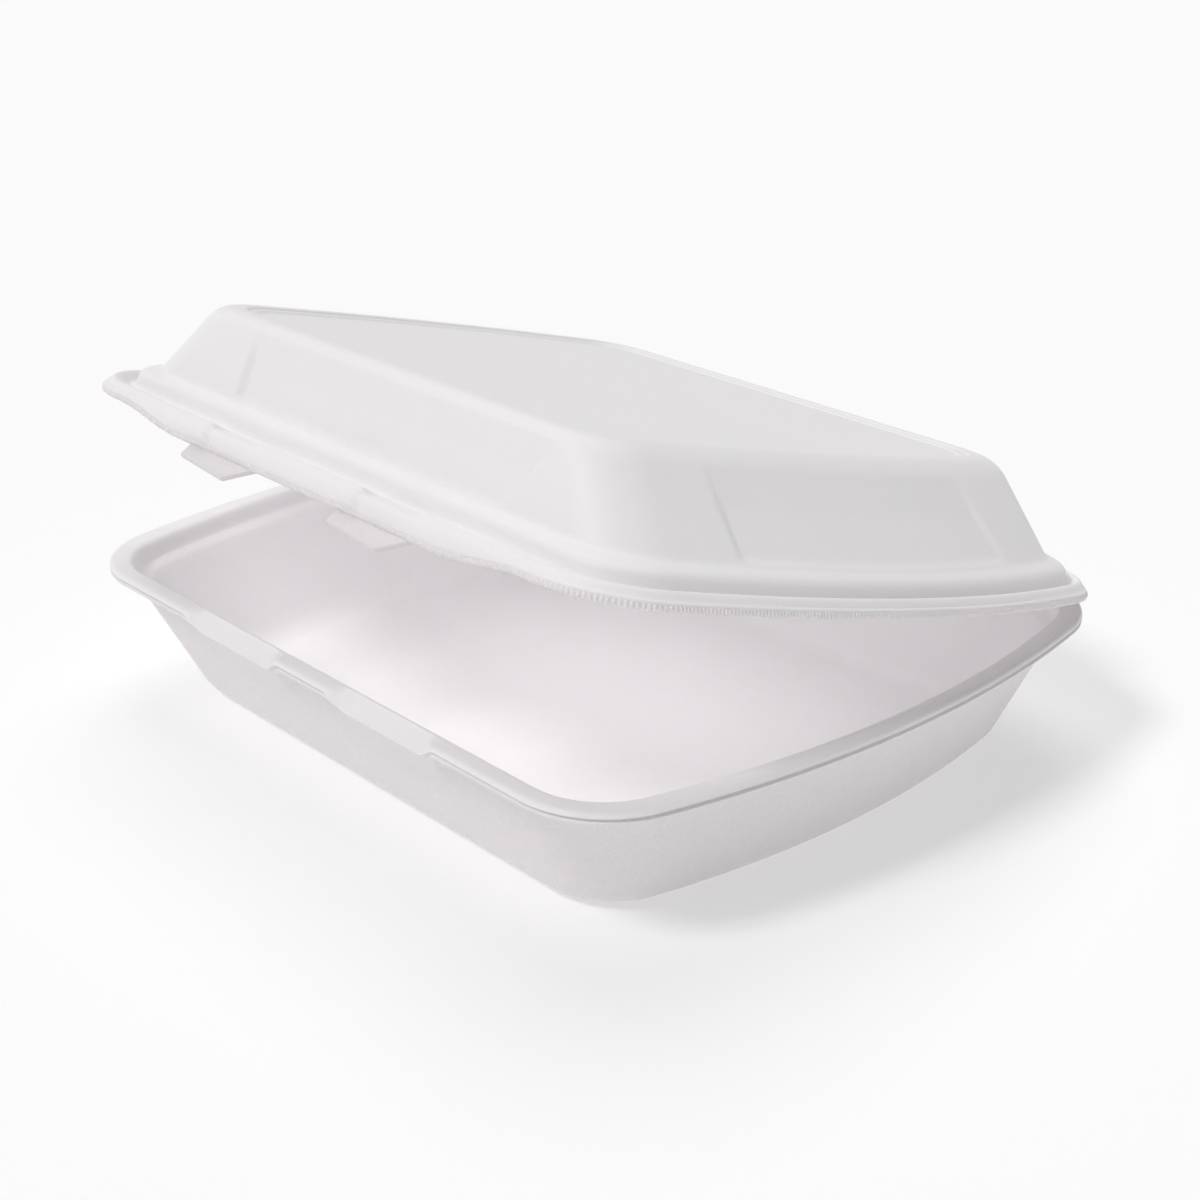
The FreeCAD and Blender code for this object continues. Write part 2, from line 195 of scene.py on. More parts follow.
class Finish:
    """A material that is being built from nodes."""

    def __init__(self, name: str) -> None:
        """Starts an empty material of this name."""
        self.material = bpy.data.materials.new(name)
        self.material.use_nodes = True
        self.tree = self.material.node_tree
        self.tree.nodes.clear()

    def node(self, kind: str, settings: dict, sockets: dict,
             out: Union[int, str] = 0) -> Signal:
        """Adds one node.

        Args:
            kind: The node's type.
            settings: Its own properties, set first.
            sockets: Values or signals by input name or number.
            out: The output that is wanted.

        Returns:
            That output as a signal.
        """
        made = self.tree.nodes.new(kind)
        for key, value in settings.items():
            setattr(made, key, value)
        for key, value in sockets.items():
            if isinstance(value, Signal):
                self.tree.links.new(value.socket, made.inputs[key])
            else:
                made.inputs[key].default_value = value
        return Signal(self, made.outputs[out])

    def finished(self, surface: Signal) -> bpy.types.Material:
        """Joins the last shader to the material's output.

        Args:
            surface: The last shader.

        Returns:
            The material.
        """
        target = self.tree.nodes.new("ShaderNodeOutputMaterial")
        self.tree.links.new(surface.socket, target.inputs["Surface"])
        return self.material

    def ease(self, signal: Signal, low: float, high: float) -> Signal:
        """A smooth step of a signal.

        Args:
            signal: The signal to ease.
            low: Where the result is 0.
            high: Where the result is 1; it may lie below low.

        Returns:
            The eased signal.
        """
        return self.node("ShaderNodeMapRange", {"interpolation_type": "SMOOTHSTEP"},
                         {"Value": signal, "From Min": low, "From Max": high})


@dataclass(frozen=True)
class FoamFinish:
    """White polystyrene foam, matt, with flattened cells under a thin skin.

    Lengths are in millimetres. Clouds and patches are wide, faint changes of
    tone, given by their noise's scale a metre.
    """

    name: str
    skin: Skin
    tint: Triple = (0.845, 0.836, 0.843)
    shade: Triple = (0.790, 0.772, 0.780)
    cell: float = 0.9
    grain: float = 0.35
    rough: float = 0.44
    relief: float = 0.35
    cloud_scale: float = 55.0
    patch_scale: float = 14.0
    # Range that eases the mottle into the shade colour; the mottle holds random tone, grain
    # and painted shade on surfaces that look down.
    mottle_and_painted_shade: tuple[float, float] = (0.25, 0.70)
    glow: float = 0.15
    glow_radius: Triple = (0.0005, 0.0004, 0.0004)
    ior: float = 1.42

    def open_cells_and_painted_shade(self, made: Finish) -> Operand:
        """How far the foam's cells show: less on the mould's smooth side, and painted shade
        where the surface looks down.

        Args:
            made: The material that is being built.

        Returns:
            The share, which for moulded skins rises where the surface looks down; in the
            colour it darkens those surfaces as painted shade.
        """
        if self.skin is Skin.CUT:
            return 1.0
        facing = made.node("ShaderNodeTexCoord", {}, {}, "Normal")
        up = made.node("ShaderNodeSeparateXYZ", {}, {0: facing}, "Z")
        if self.skin is Skin.TRAY:
            return 0.25 + 0.75 * made.ease(up, 0.05, -0.25)
        return 0.22 + 0.3 * made.ease(up, -0.1, -0.5)

    def build(self) -> bpy.types.Material:
        """Makes the material.

        Returns:
            The finished material, which reads Object coordinates and, on moulded skins, the
            way that the surface faces, to paint shade on surfaces that look down.
        """
        made = Finish(self.name)
        spot = made.node("ShaderNodeTexCoord", {}, {}, "Object")
        cells = made.node(
            "ShaderNodeTexVoronoi", {"feature": "SMOOTH_F1"},
            {"Vector": spot, "Scale": PER_METRE / self.cell, "Smoothness": 0.6}, "Distance")
        fine = made.node(
            "ShaderNodeTexNoise", {},
            {"Vector": spot, "Scale": PER_METRE / self.grain, "Detail": 3.0}, "Fac")
        cloud = made.node(
            "ShaderNodeTexNoise", {},
            {"Vector": spot, "Scale": self.cloud_scale, "Detail": 4.0, "Roughness": 0.6},
            "Fac")
        patch = made.node(
            "ShaderNodeTexNoise", {},
            {"Vector": spot, "Scale": self.patch_scale, "Detail": 2.0}, "Fac")
        # This share darkens the colour where the surface looks down, which is painted shade;
        # in bump and roughness it stands for the foam's open cells.
        open_cells_and_painted_shade = self.open_cells_and_painted_shade(made)
        mottle = 0.25 * cloud + 0.15 * patch + open_cells_and_painted_shade * (0.45 * cells + 0.45 * fine)
        mottle_and_painted_shade = made.ease(mottle, *self.mottle_and_painted_shade)
        colour = made.node("ShaderNodeMix", {"data_type": "RGBA"},
                           {"Factor": mottle_and_painted_shade, 6: (*self.tint, 1.0), 7: (*self.shade, 1.0)}, 2)
        height = open_cells_and_painted_shade * (0.8 * cells + 0.5 * fine) + 0.05 * cloud
        bump = made.node(
            "ShaderNodeBump", {},
            {"Height": height, "Strength": 0.5, "Distance": self.relief * MM}, "Normal")
        rough = self.rough + 0.16 * fine + 0.10 * open_cells_and_painted_shade - 0.08 * cloud
        body = made.node(
            "ShaderNodeBsdfPrincipled", {},
            {"Base Color": colour, "Roughness": rough, "Normal": bump,
             "Subsurface Weight": self.glow, "Subsurface Radius": self.glow_radius,
             "Subsurface Scale": 1.0, "IOR": self.ior}, "BSDF")
        return made.finished(body)


@dataclass(frozen=True)
class FloorFinish:
    """Plain pale studio floor, lifted by a little light of its own."""

    name: str = "studio_floor"
    tone: Triple = (0.64, 0.64, 0.645)
    rough: float = 0.9
    lift: float = 0.34

    def build(self) -> bpy.types.Material:
        """Makes the floor's material.

        Returns:
            The finished material.
        """
        made = Finish(self.name)
        body = made.node("ShaderNodeBsdfPrincipled", {},
                         {"Base Color": (*self.tone, 1.0), "Roughness": self.rough,
                          "Emission Color": (1.0, 1.0, 1.0, 1.0),
                          "Emission Strength": self.lift}, "BSDF")
        return made.finished(body)


# ---------------------------------------------------------------- outlines


@dataclass(frozen=True)
class Spot:
    """One point of an outline and the way out of the shell there."""

    place: Vector
    out: Vector


@dataclass(frozen=True)
class Columns:
    """How many steps each bowed side, corner and straight end has."""

    side: int = 126
    corner: int = 24
    end: int = 190

    @property
    def total(self) -> int:
        """Points round a whole outline."""
        return 2 * self.side + 4 * self.corner + 2 * self.end


@dataclass(frozen=True)
class RimOutline:
    """Closed outline from above: straight front and back, bowed sides, round corners."""

    half_width: float
    front: float
    back: float
    bow: float
    corner: float
    level: float

    def inset(self, by: float, level: Optional[float] = None,
              corner: Optional[float] = None) -> "RimOutline":
        """The outline set in on every side.

        Args:
            by: How far, in millimetres.
            level: The new height, or None for the same one.
            corner: The new corner radius, or None to take the inset off the old one.

        Returns:
            The new outline.
        """
        return RimOutline(self.half_width - by, self.front + by, self.back - by, self.bow,
                          max(1.0, self.corner - by) if corner is None else corner,
                          self.level if level is None else level)

    def mixed(self, other: "RimOutline", share: float) -> "RimOutline":
        """The outline a share of the way to another one.

        Args:
            other: The outline at share 1.
            share: How far to go.

        Returns:
            The outline between.
        """
        keys = ("half_width", "front", "back", "bow", "corner", "level")
        return RimOutline(*(getattr(self, k) + (getattr(other, k) - getattr(self, k)) * share
                            for k in keys))

    def spots(self, columns: Columns) -> list[Spot]:
        """Points round the outline.

        Args:
            columns: How many steps each part has.

        Returns:
            The points, from the front end of the right side and round to the left.
        """
        half, middle = (self.back - self.front) / 2, (self.back + self.front) / 2
        big = (half * half + self.bow * self.bow) / (2 * self.bow)
        bow_x, corner_y = self.half_width - big, half - self.corner
        corner_x = bow_x + math.sqrt((big - self.corner) ** 2 - corner_y ** 2)
        turn = math.atan2(corner_y, corner_x - bow_x)
        found: list[Spot] = []

        def arc(x: float, y: float, r: float, start: float, end: float, steps: int) -> None:
            for i in range(steps):
                a = start + (end - start) * i / steps
                out = Vector((math.cos(a), math.sin(a), 0))
                found.append(Spot(Vector((x, y, self.level)) + out * r, out))

        def line(x0: float, x1: float, y: float, way: float, steps: int) -> None:
            for i in range(steps):
                found.append(Spot(Vector((x0 + (x1 - x0) * i / steps, y, self.level)),
                                  Vector((0, way, 0))))

        pi, quarter = math.pi, math.pi / 2
        arc(bow_x, middle, big, -turn, turn, columns.side)
        arc(corner_x, middle + corner_y, self.corner, turn, quarter, columns.corner)
        line(corner_x, -corner_x, self.back, 1, columns.end)
        arc(-corner_x, middle + corner_y, self.corner, quarter, pi - turn, columns.corner)
        arc(-bow_x, middle, big, pi - turn, pi + turn, columns.side)
        arc(-corner_x, middle - corner_y, self.corner, pi + turn, pi + quarter, columns.corner)
        line(-corner_x, corner_x, self.front, -1, columns.end)
        arc(corner_x, middle - corner_y, self.corner, pi + quarter, 2 * pi - turn,
            columns.corner)
        return found


def straight(start: RimOutline, end: RimOutline, steps: int) -> list[RimOutline]:
    """Outlines from just past start up to end, evenly.

    Args:
        start: The last outline before these.
        end: The last of these.
        steps: How many.

    Returns:
        The outlines.
    """
    return [start.mixed(end, i / steps) for i in range(1, steps + 1)]


def curve(start: RimOutline, turn: RimOutline, end: RimOutline,
          steps: int) -> list[RimOutline]:
    """Outlines that round a corner, from just past start up to end.

    Args:
        start: The last outline before these.
        turn: The corner, which they don't reach.
        end: The last of these.
        steps: How many.

    Returns:
        The outlines.
    """
    return [start.mixed(turn, i / steps).mixed(turn.mixed(end, i / steps), i / steps)
            for i in range(1, steps + 1)]


@dataclass
class MouldedShell:
    """A shell whose section is carried round an outline, ring by ring."""

    columns: Columns = field(default_factory=Columns)

    def shape(self, ring: int, spot: Spot) -> Vector:
        """Where a point of a ring goes; a shell with local forms changes it.

        Args:
            ring: The ring's number.
            spot: The point on the ring's outline.

        Returns:
            The point's place, in millimetres.
        """
        return spot.place

    def sweep(self, name: str, rings: Sequence[RimOutline], hollow: bool = False,
              place: Optional[Callable[[int, int, Spot], Vector]] = None) -> bpy.types.Object:
        """Extrudes one ring after another and moves each to its outline.

        Args:
            name: The new piece's name.
            rings: The outlines, in the order of the section.
            hollow: True joins the last ring to the first; False closes both with a face.
            place: Gives a point's place from ring, column and spot, instead of shape().

        Returns:
            The closed piece, at the origin.
        """
        clear_selection()
        bpy.ops.mesh.primitive_circle_add(
            vertices=self.columns.total, radius=rings[0].half_width * MM,
            fill_type="NOTHING" if hollow else "NGON")
        piece = bpy.context.object
        piece.name = piece.data.name = name
        bpy.ops.object.mode_set(mode="EDIT")
        bpy.ops.mesh.select_all(action="SELECT")
        mesh = bmesh.from_edit_mesh(piece.data)
        column = mesh.verts.layers.int.new("column")
        mesh.verts.ensure_lookup_table()
        for i, corner in enumerate(mesh.verts):
            corner[column] = i
        bmesh.update_edit_mesh(piece.data)
        for ring, outline in enumerate(rings):
            if ring:
                bpy.ops.mesh.extrude_region_move(
                    TRANSFORM_OT_translate={"value": (0, 0, MM)})
            spots = outline.spots(self.columns)
            mesh = bmesh.from_edit_mesh(piece.data)
            column = mesh.verts.layers.int["column"]
            for corner in mesh.verts:
                if corner.select:
                    i = corner[column]
                    found = (place(ring, i, spots[i]) if place
                             else self.shape(ring, spots[i]))
                    corner.co = found * MM
            bmesh.update_edit_mesh(piece.data)
        if hollow:
            bpy.ops.mesh.select_all(action="DESELECT")
            bpy.ops.mesh.select_non_manifold(extend=False)
            bpy.ops.mesh.bridge_edge_loops()
        bpy.ops.object.mode_set(mode="OBJECT")
        piece.data.attributes.remove(piece.data.attributes["column"])
        face_outwards(piece)
        return piece


# ---------------------------------------------------------------- tray


@dataclass
class Tray(MouldedShell):
    """The deep lower half, with its lip and two sloped notches."""

    body: str = "tray"
    rim_half: float = 119.0
    rim_end: float = 94.0
    rim_bow: float = 14.0
    rim_corner: float = 26.0
    foam: float = 2.4
    height: float = 40.0
    lip: float = 6.0
    lip_thick: float = 3.1
    base_half: float = 97.25
    base_front: float = -73.0
    base_back: float = 79.0
    base_bow: float = 10.5
    base_corner: float = 20.8
    step_share: float = 0.17
    step_in: float = 0.5
    step_rise: float = 1.4
    lip_groove: tuple[tuple[float, float], ...] = ((0.7, 1.5), (0.8, 2.15), (0.05, 2.4))
    notch_middle: float = 32.0
    notch_half: float = 18.5
    notch_ease: float = 4.0
    notch_drop: float = 5.0
    notch_skirt: float = 18.0
    notch_shelf: float = 4.6
    notch_bend: float = 1.2
    marks: dict = field(default_factory=dict)

    def section(self) -> list[RimOutline]:
        """The tray's section.

        Returns:
            The rings, from the middle of the floor over the lip to the bottom's middle.
        """
        rim = RimOutline(self.rim_half, -self.rim_end, self.rim_end, self.rim_bow,
                         self.rim_corner, self.height)
        base = RimOutline(self.base_half, self.base_front, self.base_back, self.base_bow,
                          self.base_corner, 0.0)
        floor = base.inset(self.foam, level=self.foam)
        mouth = rim.inset(self.lip)
        wall = rim.inset(self.lip - self.foam)
        step_wall = mouth.mixed(floor, self.step_share)
        step_in = mouth.inset(self.step_in, level=step_wall.level + self.step_rise)
        rings = [floor.inset(40, corner=6), floor.inset(14), floor.inset(5.2)]
        rings += curve(rings[-1], floor, floor.mixed(mouth, 0.15), 7)
        rings += straight(rings[-1], step_wall.mixed(floor, 0.04), 14)
        rings += curve(rings[-1], step_wall, step_in.mixed(step_wall, 0.35), 3)
        rings += curve(rings[-1], step_in, step_in.mixed(mouth, 0.45), 3)
        rings += curve(rings[-1], mouth, mouth.inset(-1.7), 6)
        self.marks["shelf"] = len(rings) - 1
        rings += straight(rings[-1], rim.inset(1.4), 3)
        rings += curve(rings[-1], rim, rim.inset(0.0, level=self.height - 1.3), 5)
        self.marks["edge"] = len(rings) - 1
        for inset, drop in self.lip_groove:
            rings += [rim.inset(inset, level=self.height - drop)]
        low = self.height - self.lip_thick
        rings += curve(rings[-1], rim.inset(0.0, level=low), rim.inset(1.0, level=low), 4)
        joint = wall.mixed(base, self.lip_thick / self.height)
        rings += curve(rings[-1], joint, wall.mixed(base, 0.12), 4)
        rings += straight(rings[-1], wall.mixed(base, self.notch_skirt / self.height), 6)
        self.marks["skirt"] = len(rings) - 1
        rings += straight(rings[-1], wall.mixed(base, 0.85), 8)
        rings += curve(rings[-1], base, base.inset(6.2), 9)
        rings += [base.inset(14, corner=12), base.inset(40, corner=6)]
        return rings

    def shape(self, ring: int, spot: Spot) -> Vector:
        """Slopes the lip down to the wall over each notch.

        Args:
            ring: The ring's number.
            spot: The point on the ring's outline.

        Returns:
            The point's place, in millimetres.
        """
        shelf, edge, skirt = (self.marks[name] for name in ("shelf", "edge", "skirt"))
        if spot.out.y > -STRAIGHT or not shelf < ring <= skirt:
            return spot.place
        away = abs(abs(spot.place.x) - self.notch_middle)
        share = smooth(self.notch_half + self.notch_ease, self.notch_half - self.notch_ease,
                       away)
        if not share:
            return spot.place
        wall_in = self.lip - self.foam
        slope = (self.base_front + self.rim_end - wall_in) / self.height
        skirt_y = wall_in - self.rim_end + slope * self.notch_skirt
        top = Vector((spot.place.x, self.notch_shelf - self.rim_end, self.height))
        bend = Vector((spot.place.x, self.notch_bend - self.rim_end,
                       self.height - self.notch_drop))
        foot = Vector((spot.place.x, skirt_y, self.height - self.notch_skirt))
        if ring <= edge:
            along = (ring - shelf) / (edge - shelf)
            target = top.lerp(bend, along)
        else:
            along = (ring - edge) / (skirt - edge)
            target = bend.lerp(foot, along)
        return spot.place.lerp(target, share)

    def build(self, skin: bpy.types.Material) -> bpy.types.Object:
        """Models and dresses the tray.

        Args:
            skin: The tray's finish.

        Returns:
            The piece that stands for the tray.
        """
        rings = self.section()
        piece = self.sweep("tray_shell", rings)
        soften(piece, 50)
        piece.data.materials.append(skin)
        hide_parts("tray")
        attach(piece, self.body)
        log.info("tray_shell: %d rings, %d faces", len(rings), len(piece.data.polygons))
        return piece


# ---------------------------------------------------------------- lid


@dataclass(frozen=True)
class WallPanel:
    """A wall's shallow panel, measured along the wall; its far end leans."""

    near: float
    far: float
    near_ease: tuple[float, float]
    far_ease: float
    lean: float
    lean_height: float
    foot: float = 8.0

    def inside(self, along: float, level: float) -> float:
        """Share of the panel's depth at a point.

        Args:
            along: The point's place along the wall.
            level: Its height above the flange's underside.

        Returns:
            The share, from 0 outside to 1 inside.
        """
        far = self.far + self.lean * (level - self.foot) / self.lean_height
        before, after = self.near_ease
        return smooth(self.near - before, self.near + after, along) * smooth(
            far + self.far_ease, far - self.far_ease, along)


@dataclass(frozen=True)
class CutEdge:
    """The rough bead of trimmed foam under the flange's edge.

    Its section is a ring of a few sides. At every foam cell it swells outward and
    spreads in height, and it is sunk in a little so that it swells past the rim only there.
    """

    columns: Columns = Columns(side=620, corner=110, end=640)
    sides: int = 7
    inset: float = 0.15
    half_width: float = 0.45
    middle: float = 0.45
    half_height: float = 0.75
    cells_apart: int = 4
    swell: float = 0.30
    sink: float = 0.1
    spread: float = 0.25
    spread_from: float = 0.5

    def wander(self, column: int) -> float:
        """How far the trimmed line strays at a column, in millimetres."""
        return (0.12 * math.sin(column * 0.37)
                + 0.08 * math.sin(column * 0.113 + 1.7)) * 0.4


@dataclass(frozen=True)
class TabSizes:
    """One latch tab, before it is turned: a thin plate whose right end slants.

    Its root lies behind the origin. Points beyond end_line move with the end, and
    corners beyond corner_line are rounded.
    """

    middle: float = 32.0
    width: float = 31.0
    length: float = 8.4
    thick: float = 1.5
    centre: float = -1.8
    end_line: float = -4.0
    corner_line: float = -3.0
    right_slant: float = 9.0
    left_slant: float = 1.2
    left_shorter: float = 1.6
    corner: float = 1.2
    edge: float = 0.35
    behind: float = 1.0
    below: float = 1.2
    slope: float = 38.0


@dataclass
class Lid(MouldedShell):
    """The domed upper half, with its flange, turned down front and two tabs.

    It is modelled shut, with the crease at the origin; levels count from the
    flange's underside.
    """

    body: str = "lid"
    crease: Triple = (0.0, 97.2, 40.15)
    open_angle: float = 15.0
    rim_half: float = 119.0
    rim_front: float = -191.2
    rim_back: float = -3.2
    rim_bow: float = 14.0
    rim_corner: float = 26.0
    under: float = 0.15
    foam: float = 2.4
    height: float = 29.5
    flange: float = 5.0
    flange_thick: float = 2.0
    shoulder_low: float = 6.4
    shoulder_high: float = 8.0
    shoulder_in: float = 5.8
    wall_in: float = 10.0
    wall_corner: float = 20.0
    top_half: float = 84.5
    top_front: float = -177.2
    top_back: float = -20.2
    top_bow: float = 6.0
    top_corner: float = 16.0
    apron_reach: float = 3.2
    apron_full: float = 2.2
    apron_drop: float = 3.0
    apron_half: float = 82.0
    apron_past: float = 2.0
    apron_run: float = 28.0
    bead: float = 1.8
    bead_start: float = 0.7
    bead_width: float = 3.3
    bead_steps: int = 9
    bead_flats: tuple[tuple[float, float], ...] = ((-40.0, -19.0), (24.0, 46.0))
    bead_flat_ease: float = 1.0
    bead_flat_depth: float = 0.8
    bulge: float = 1.3
    crown: float = 0.35
    border: float = 5.6
    border_corner: float = 13.0
    top_steps: tuple[tuple[float, float], ...] = ((0.55, 6.3), (1.1, 8.3))
    panel_depth: float = 1.3
    panel_start: tuple[float, float] = (8.5, 9.1)
    panel_top: float = 27.0
    panel_fade: float = 9.0
    front_panel: WallPanel = WallPanel(-50.0, 56.0, (0.8, 1.2), 0.6, 13.0, 18.0)
    side_panel: WallPanel = WallPanel(-148.0, -50.0, (0.8, 0.8), 0.8, -5.0, 16.0)
    trim: CutEdge = CutEdge()
    tabs: TabSizes = TabSizes()
    marks: dict = field(default_factory=dict)

    def rim(self, inset: float, level: float, corner: Optional[float] = None) -> RimOutline:
        """The rim's outline set in by a length, its front pushed out over the flange.

        Args:
            inset: How far in from the rim.
            level: Height above the flange's underside.
            corner: Corner radius, or None for the rim's own less the inset.

        Returns:
            The outline.
        """
        push = self.apron_reach * smooth(self.flange + 0.2, self.apron_full, inset)
        return RimOutline(self.rim_half - inset, self.rim_front + inset - push,
                          self.rim_back - inset, self.rim_bow,
                          self.rim_corner - inset if corner is None else corner,
                          self.under + level)

    def section(self) -> list[RimOutline]:
        """The lid's section.

        Returns:
            The rings, from the middle of the ceiling over the flange to the top's middle.
        """
        top = RimOutline(self.top_half, self.top_front, self.top_back, self.top_bow,
                         self.top_corner, self.under + self.height)
        ceiling = top.inset(self.foam, level=top.level - self.foam)
        inner_high = self.rim(self.wall_in + self.foam, self.shoulder_high - self.foam / 2,
                              self.wall_corner - self.foam)
        inner_low = self.rim(self.shoulder_in + self.foam, self.shoulder_low - 0.8)
        mouth = self.rim(self.flange + self.foam, 0.0)
        rings = [ceiling.inset(30, corner=4), ceiling.inset(10), ceiling.inset(2.6)]
        rings += curve(rings[-1], ceiling, ceiling.mixed(inner_high, 0.13), 4)
        rings += straight(rings[-1], inner_high.mixed(ceiling, 0.05), 8)
        rings += curve(rings[-1], inner_high, inner_high.mixed(inner_low, 0.6), 3)
        rings += curve(rings[-1], inner_low, inner_low.mixed(mouth, 0.3), 3)
        rings += straight(rings[-1], self.rim(self.flange + self.foam, 0.5), 3)
        rings += curve(rings[-1], mouth, self.rim(6.6, 0.0), 2)
        rings += straight(rings[-1], self.rim(2.6, 0.0), 3)
        rings += straight(rings[-1], self.rim(2.1, 0.0), 1)
        self.marks["turned"] = len(rings) - 1
        rings += straight(rings[-1], self.rim(0.3, 0.0), 2)
        rings += curve(rings[-1], self.rim(0.0, 0.0), self.rim(0.0, 0.4), 2)
        rings += straight(rings[-1], self.rim(0.0, self.flange_thick - 1.1), 2)
        self.marks["fall"] = len(rings) - 1
        rings += straight(rings[-1], self.rim(0.0, self.flange_thick - 0.7), 8)
        rings += curve(rings[-1], self.rim(0.0, self.flange_thick),
                       self.rim(self.bead_start, self.flange_thick), 4)
        self.marks["bead"] = len(rings) - 1
        rings += [self.rim(self.bead_start + self.bead_width * i / self.bead_steps,
                           self.flange_thick) for i in range(1, self.bead_steps + 1)]
        self.marks["bead_end"] = len(rings) - 1
        rings += curve(rings[-1], self.rim(4.9, self.flange_thick - 1.0),
                       self.rim(5.1, self.flange_thick + 0.9), 5)
        low = self.rim(self.shoulder_in, self.shoulder_low)
        high = self.rim(self.wall_in, self.shoulder_high, self.wall_corner)
        rings += straight(rings[-1], self.rim(5.45, self.shoulder_low - 1.9), 2)
        rings += curve(rings[-1], low, low.mixed(high, 0.42), 6)
        rings += straight(rings[-1], low.mixed(high, 0.8), 2)
        rings += curve(rings[-1], high, high.mixed(top, 0.045), 4)
        self.marks["wall"] = len(rings) - 1
        rings += straight(rings[-1], high.mixed(top, 0.80), 20)
        self.marks["wall_end"] = len(rings) - 1
        rings += curve(rings[-1], top, top.inset(4.4, corner=14), 10)
        corner = self.border_corner
        border = top.inset(self.border, corner=corner)
        rings += [border]
        for depth, inset in self.top_steps:
            down = replace(border, level=top.level - depth)
            edge = down.inset(inset - self.border, corner=corner)
            rings += curve(rings[-1], rings[-1].inset(0.35, corner=corner), edge, 4)
            rings += [edge.inset(1.1, corner=corner)]
        rings += [rings[-1].inset(6, corner=12), rings[-1].inset(30, corner=6)]
        return rings

    def turned_down(self, place: Vector) -> float:
        """Share of the front flange's drop at a point.

        Args:
            place: The point.

        Returns:
            The share, from 0 beside the turned down front to 1 on it.
        """
        return smooth(self.apron_half + self.apron_past, self.apron_half - self.apron_run,
                      abs(place.x))

    def bead_share(self, place: Vector) -> float:
        """Share of the front bead's height at a point; it sinks above each tab.

        Args:
            place: The point.

        Returns:
            The share, from 1 down to what is left on a flat.
        """
        share, ease = 1.0, self.bead_flat_ease
        for low, high in self.bead_flats:
            middle, half = (low + high) / 2, (high - low) / 2
            share -= self.bead_flat_depth * smooth(half + ease, half - ease,
                                                   abs(place.x - middle))
        return share

    def shape(self, ring: int, spot: Spot) -> Vector:
        """Adds the flange's bead, the turned down front and the wall panels.

        Args:
            ring: The ring's number.
            spot: The point on the ring's outline.

        Returns:
            The point's place, in millimetres.
        """
        place, marks = spot.place.copy(), self.marks
        ahead = spot.out.y < -STRAIGHT
        turned = self.turned_down(place) if ahead else 0.0
        keep = self.bead_share(place) if ahead else 1.0
        first = self.crown * turned
        if turned and marks["turned"] < ring <= marks["bead"]:
            along = max(0.0, (ring - marks["fall"]) / (marks["bead"] - marks["fall"]))
            place.z += (along * self.bead * keep * math.sin(math.pi * first)
                        - (1 - along) * self.apron_drop * turned)
            place += spot.out * (self.bulge * keep * turned * math.sin(math.pi * along))
        if marks["bead"] < ring < marks["bead_end"]:
            along = (ring - marks["bead"]) / (marks["bead_end"] - marks["bead"])
            place.z += self.bead * keep * math.sin(math.pi * (first + (1 - first) * along))
        if marks["wall"] <= ring <= marks["wall_end"]:
            place -= spot.out * self.panel_sink(place, spot.out)
        return place

    def panel_sink(self, place: Vector, out: Vector) -> float:
        """How deep a wall's shallow panel is at a point.

        Args:
            place: A point on the plain wall, in the shut lid's frame.
            out: The way out of the wall there.

        Returns:
            The depth in millimetres.
        """
        level = place.z - self.under
        fade = smooth(*self.panel_start, level) * min(
            1.0, max(0.0, (self.panel_top - level) / self.panel_fade))
        if abs(out.y) > STRAIGHT:
            inside = self.front_panel.inside(place.x, level)
        else:
            inside = self.side_panel.inside(place.y, level)
        return self.panel_depth * fade * inside

    def stand_open(self, piece: bpy.types.Object) -> None:
        """Turns a piece of the shut lid about the crease to where it stands at rest.

        Args:
            piece: The piece, modelled with the crease at its origin.
        """
        piece.location = Vector(self.crease) * MM
        piece.rotation_euler = (-math.radians(self.open_angle), 0, 0)
        settle(piece)

    def cut_edge(self, finish: bpy.types.Material) -> bpy.types.Object:
        """Models the rough beaded edge where the lid was trimmed from the sheet.

        Args:
            finish: The cut foam's finish.

        Returns:
            The edge, in its place on the open lid.
        """
        trim = self.trim
        turns = [2 * math.pi * i / trim.sides for i in range(trim.sides)]
        rings = [self.rim(trim.inset - trim.half_width * math.cos(turn),
                          trim.middle + trim.half_height * math.sin(turn))
                 for turn in turns]

        def ridge(ring: int, column: int, spot: Spot) -> Vector:
            """Gives the bead its cells, its wander and the front's drop."""
            place = spot.place.copy()
            swell = 0.5 + 0.5 * math.cos(
                math.pi * (column % trim.cells_apart) / (trim.cells_apart / 2))
            place += spot.out * (trim.swell * swell + trim.wander(column) - trim.sink)
            place.z += (place.z - self.under - trim.spread_from) * trim.spread * swell
            if spot.out.y < -STRAIGHT:
                place.z -= self.apron_drop * self.turned_down(place)
            return place

        piece = MouldedShell(columns=trim.columns).sweep(
            "lid_cut_edge", rings, hollow=True, place=ridge)
        soften(piece, 60)
        self.stand_open(piece)
        piece.data.materials.append(finish)
        return piece

